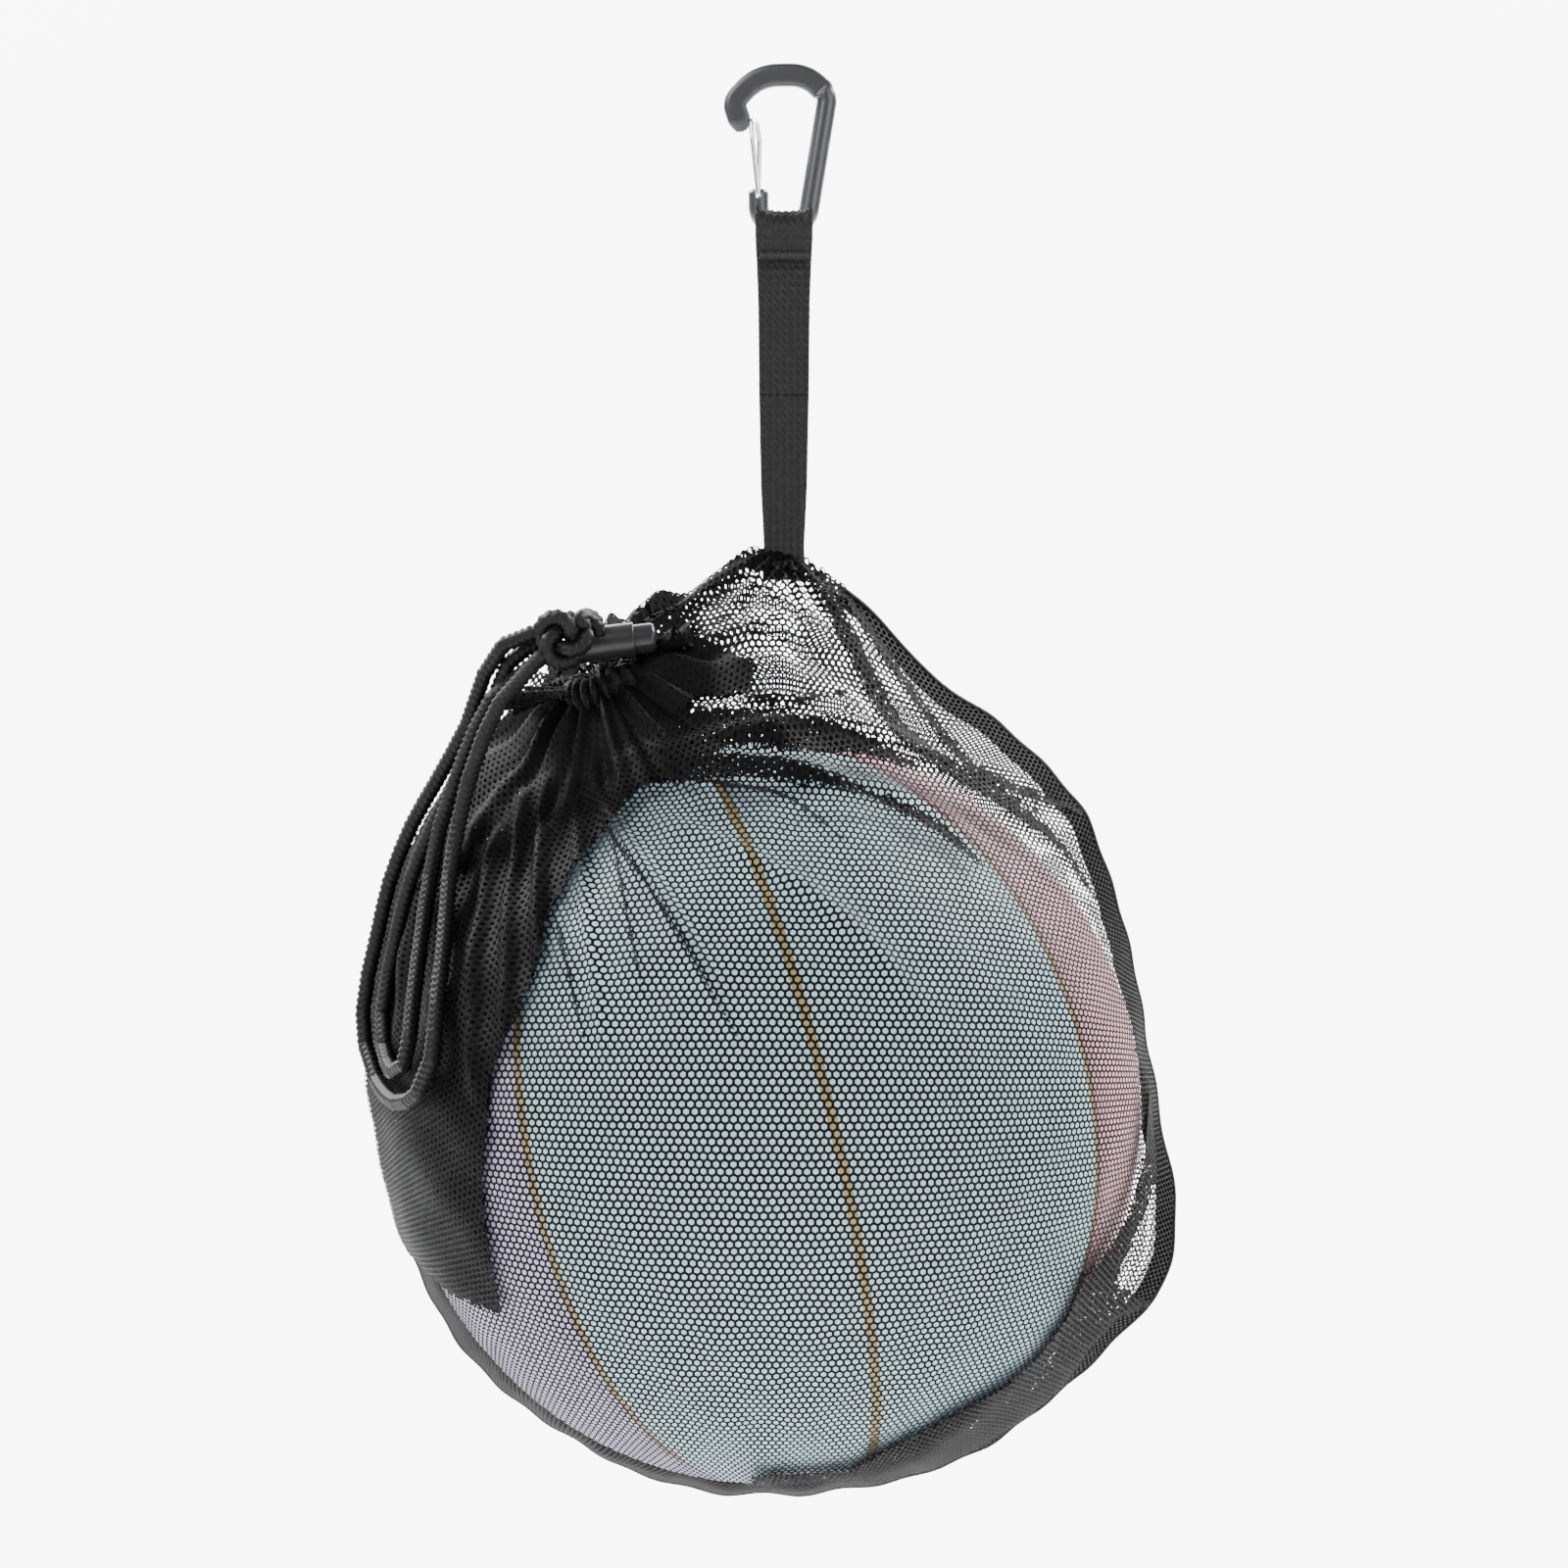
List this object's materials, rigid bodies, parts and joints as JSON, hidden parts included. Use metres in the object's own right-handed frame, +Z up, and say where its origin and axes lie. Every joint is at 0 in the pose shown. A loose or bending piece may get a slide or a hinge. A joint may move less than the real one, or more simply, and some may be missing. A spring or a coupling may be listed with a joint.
{
  "type": "mesh ball bag",
  "caption": "Black knitted net bag with a drawcord mouth and barrel cord lock, holding a ball, hung by a webbing strap from a small wire-gate carabiner.",
  "frame": {"origin": "the hook seat: the inside of the carabiner's top bend, where a hook, rail or finger carries the bag", "axes": "+Z up, the bag hanging straight down; front face towards -Y with the drawn mouth at the upper left; +X to the right seen from the front"},
  "size_m": [0.2626, 0.2438, 0.4605],
  "materials": {
    "carabiner": "dark grey anodised, satin",
    "gate_steel": "bright drawn wire",
    "webbing": "coarse woven polypropylene webbing",
    "net": "knitted polyester net with round holes",
    "cord": "knitted round cord",
    "lock_plastic": "satin moulded nylon",
    "spring_steel": "spring wire",
    "ball_channel": "matt gold channels",
    "ball_blue": "pebbled, pale blue",
    "ball_lavender": "pebbled, lavender",
    "ball_pink": "pebbled, pink",
    "valve_rubber": "matt rubber"
  },
  "bodies": {
    "carabiner": {"carabiner_frame": "carabiner", "strap_loop": "webbing"},
    "gate": {"wire_gate": "gate_steel"},
    "strap": {"strap_web": "webbing", "strap_tail": "webbing", "strap_bar_tack": "webbing"},
    "bag": {"front_panel": "net", "back_panel": "net", "side_seam": "net", "shoulder_seam": "net", "folded_tuck": "net", "hem_tunnel": "net", "mouth_frill": "net", "strap_anchor": "webbing", "channel_cord": "cord", "cord_stem_front": "cord", "cord_stem_back": "cord", "drawcord_knot": "cord", "drawcord_outer_loop": "cord", "drawcord_inner_loop": "cord"},
    "cord_lock": {"lock_barrel": "lock_plastic"},
    "button": {"lock_button": "lock_plastic", "lock_spring": "spring_steel"},
    "ball": {"ball_carcass": "ball_channel", "ball_valve": "valve_rubber", "ball_front_left_centre_panel": "ball_blue", "ball_front_left_cap_panel": "ball_lavender", "ball_front_right_centre_panel": "ball_blue", "ball_front_right_cap_panel": "ball_pink", "ball_back_left_centre_panel": "ball_blue", "ball_back_left_cap_panel": "ball_lavender", "ball_back_right_centre_panel": "ball_blue", "ball_back_right_cap_panel": "ball_pink"}
  },
  "joints": [
    {"name": "gate_hinge", "type": "hinge", "parent": "carabiner", "child": "gate", "pos_m": [-0.0083, 0, -0.0362], "axis": [0, 1, 0], "range_deg": [0, 26], "stiffness_Nm_per_rad": 0.08, "springref_deg": -11.46},
    {"name": "strap_swing", "type": "hinge", "parent": "carabiner", "child": "strap", "pos_m": [0, 0, -0.0456], "axis": [1, 0, 0], "range_deg": [-90, 90]},
    {"name": "bag_swing", "type": "hinge", "parent": "strap", "child": "bag", "pos_m": [0, 0, -0.1524], "axis": [1, 0, 0], "range_deg": [-60, 60]},
    {"name": "lock_slide", "type": "slide", "parent": "bag", "child": "cord_lock", "axis": [-0.1055, -0.5, 0.8596], "range_m": [-0.0015, 0.0015]},
    {"name": "button_press", "type": "slide", "parent": "cord_lock", "child": "button", "axis": [-0.9925, 0, -0.1219], "range_m": [0, 0.0032], "stiffness_N_per_m": 900, "springref_m": -0.0018, "deforming": ["lock_spring"]},
    {"name": "ball_turn", "type": "hinge", "parent": "bag", "child": "ball", "pos_m": [-0.0048, 0, -0.3318], "axis": [0, 0, 1], "continuous": true}
  ]
}
